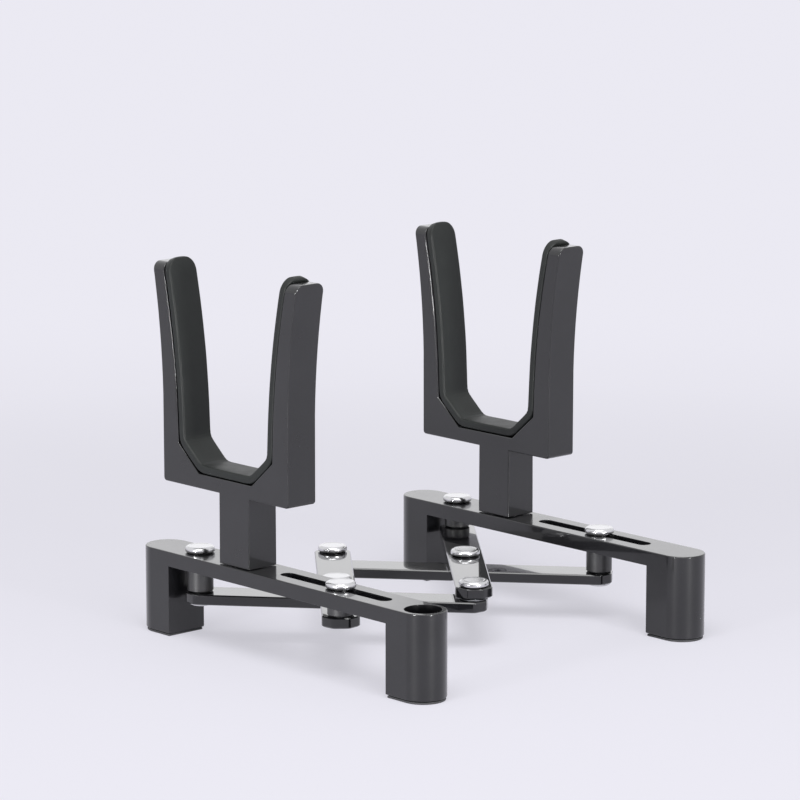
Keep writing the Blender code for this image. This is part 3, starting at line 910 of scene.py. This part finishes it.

# %% [markdown]
# ## The studio
# A wide pale floor runs to the horizon. Near the stand it is a matt surface that takes shadows, mixed with
# an even tone that keeps them pale. Further off the even tone takes over for the camera and for
# reflections, so that the ground looks alike from any side. Behind the stand a soft darker band of painted
# shade is laid into the floor's colour, standing in for the shade of a paper sweep where it starts to rise.

# %% Floor
FLOOR_HALF = 14.0
GROUND = (0.800, 0.790, 0.865)
GROUND_SEEN = (0.830, 0.820, 0.893)
# painted shade: a soft darker band on the flat floor behind the stand, standing in for a paper sweep's
# shade
SHADE_BAND_AWAY = (0.678, 0.735, 0.0)
SHADE_BAND_RISE = (-0.15, 0.30)
SHADE_BAND_FALL = (0.34, 0.85)
SHADE_BAND_DEPTH = 0.94
FAR_FROM_STAND = (0.10, 0.60)
SEEN_SHARE = (0.58, 1.0)    # how much of the even tone is seen near the stand, and far off


def rays_that_see(tree):
    """1 for camera, mirror and see-through rays, 0 for those that gather light."""
    ray = tree.nodes.new("ShaderNodeLightPath").outputs
    seen = combine(tree, "MAXIMUM", ray["Is Camera Ray"], ray["Is Glossy Ray"])
    return combine(tree, "MAXIMUM", seen, ray["Is Transmission Ray"])


def measure_floor(tree, operation, vector=None):
    """The length of the floor's coordinates, or how far they go along a direction."""
    place = add_node(tree, "ShaderNodeTexCoord")
    node = add_node(tree, "ShaderNodeVectorMath", operation=operation)
    tree.links.new(place.outputs["Object"], node.inputs[0])
    if vector:
        node.inputs[1].default_value = vector
    return node.outputs["Value"]


def painted_sweep_shade(tree):
    """A soft band of painted shade behind the stand, from 0 to 1."""
    away = measure_floor(tree, "DOT_PRODUCT", SHADE_BAND_AWAY)
    rise, fall = map_value(tree, away, SHADE_BAND_RISE, FULL), map_value(tree, away, SHADE_BAND_FALL, FULL[::-1])
    for value in (rise, fall):
        value.node.interpolation_type = "SMOOTHSTEP"
    return multiply(tree, rise, fall)


def add_floor():
    """The wide floor, a mix of a matt surface and an even tone. It belongs to the studio."""
    bm = bmesh.new()
    bmesh.ops.create_grid(bm, x_segments=8, y_segments=8, size=FLOOR_HALF)
    floor = store_piece("floor", bm)
    material, tree, shader = start_material("pale floor", Roughness=0.9, IOR=1.2)
    # painted shade: the darker band behind the stand goes into the matt colour and into the even tone alike
    painted_shade_band = painted_sweep_shade(tree)
    value = use_group(tree, UNEVEN, Broad_Scale=2.5, Fine_Scale=160.0, Fine_Share=0.15)[0]
    matt = blend_colours(tree, value, shade(GROUND, 0.99), GROUND)
    tree.links.new(blend_colours(tree, painted_shade_band, matt, shade(GROUND, SHADE_BAND_DEPTH)), shader.inputs["Base Color"])
    glow = add_node(tree, "ShaderNodeEmission")
    seen = blend_colours(tree, painted_shade_band, GROUND_SEEN, shade(GROUND_SEEN, SHADE_BAND_DEPTH))
    tree.links.new(seen, glow.inputs["Color"])
    far = map_value(tree, measure_floor(tree, "LENGTH"), FAR_FROM_STAND, SEEN_SHARE)
    mix = tree.nodes.new("ShaderNodeMixShader")
    tree.links.new(multiply(tree, far, rays_that_see(tree)), mix.inputs[0])
    tree.links.new(shader.outputs[0], mix.inputs[1])
    tree.links.new(glow.outputs[0], mix.inputs[2])
    tree.links.new(mix.outputs[0], tree.nodes["Material Output"].inputs["Surface"])
    floor.data.materials.append(material)


add_floor()
print("floor colour:", GROUND)

# %% [markdown]
# ### Lamps and world
# A large softbox above the front gives a short soft shadow close behind the feet. A weak one behind makes
# the tops shine where they mirror it at a low angle. Black paint shows little but reflections, so two
# small strips stand low on either side of the camera: each draws one soft upright band on a round foot
# and leaves the flat faces dark. The world is even and weak as a light, and pale where it is seen.

# %% Lamps and world
STAND_MIDDLE = (0.0, 0.0, 0.05)
STRIP_SIZE = (0.22, 0.26)
STRIP_WATTS = 17.0
WORLD_HIGH = (0.98, 0.98, 1.0)
PALE_FROM = (0.02, 0.22)    # the upward share of a direction, where the seen colour turns paler
LIGHT_FROM = (0.1, 0.8)     # and where the light turns from that of the sides to that of the top


def add_lamp(name, place, size, watts):
    """A rectangular lamp that faces the middle of the stand."""
    lamp = bpy.data.lights.new(name, "AREA")
    lamp.shape = "RECTANGLE"
    lamp.size, lamp.size_y = size
    lamp.energy = watts
    holder = bpy.data.objects.new(name, lamp)
    holder.location = place
    holder.rotation_euler = (Vector(STAND_MIDDLE) - Vector(place)).to_track_quat("-Z", "Y").to_euler()
    bpy.context.scene.collection.objects.link(holder)


def set_world(low, high, sides, top):
    """Paler upwards as it is seen. As a light it has one strength at the sides and one at the top."""
    world = bpy.data.worlds.new("studio")
    world.use_nodes = True
    tree = world.node_tree
    backdrop = tree.nodes["Background"]
    place = add_node(tree, "ShaderNodeTexCoord")
    split = add_node(tree, "ShaderNodeSeparateXYZ")
    tree.links.new(place.outputs["Generated"], split.inputs[0])
    height = map_value(tree, split.outputs["Z"], PALE_FROM, FULL)
    tree.links.new(blend_colours(tree, height, low, high), backdrop.inputs["Color"])
    light = map_value(tree, split.outputs["Z"], LIGHT_FROM, (sides, top))
    tree.links.new(combine(tree, "MAXIMUM", light, rays_that_see(tree)), backdrop.inputs["Strength"])
    bpy.context.scene.world = world


add_lamp("softbox above", (-0.5, -0.5, 1.8), (1.2, 1.2), 22.0)
add_lamp("softbox behind", (1.25, 1.35, 0.47), (2.0, 0.62), 1.25)
add_lamp("strip left", (-1.63, -0.22, 0.15), STRIP_SIZE, STRIP_WATTS)
add_lamp("strip right", (-0.15, -1.63, 0.15), STRIP_SIZE, STRIP_WATTS)
set_world(GROUND_SEEN, WORLD_HIGH, sides=0.35, top=0.40)
bpy.context.scene.view_settings.view_transform = "Standard"
print("lamps:", len(bpy.data.lights))
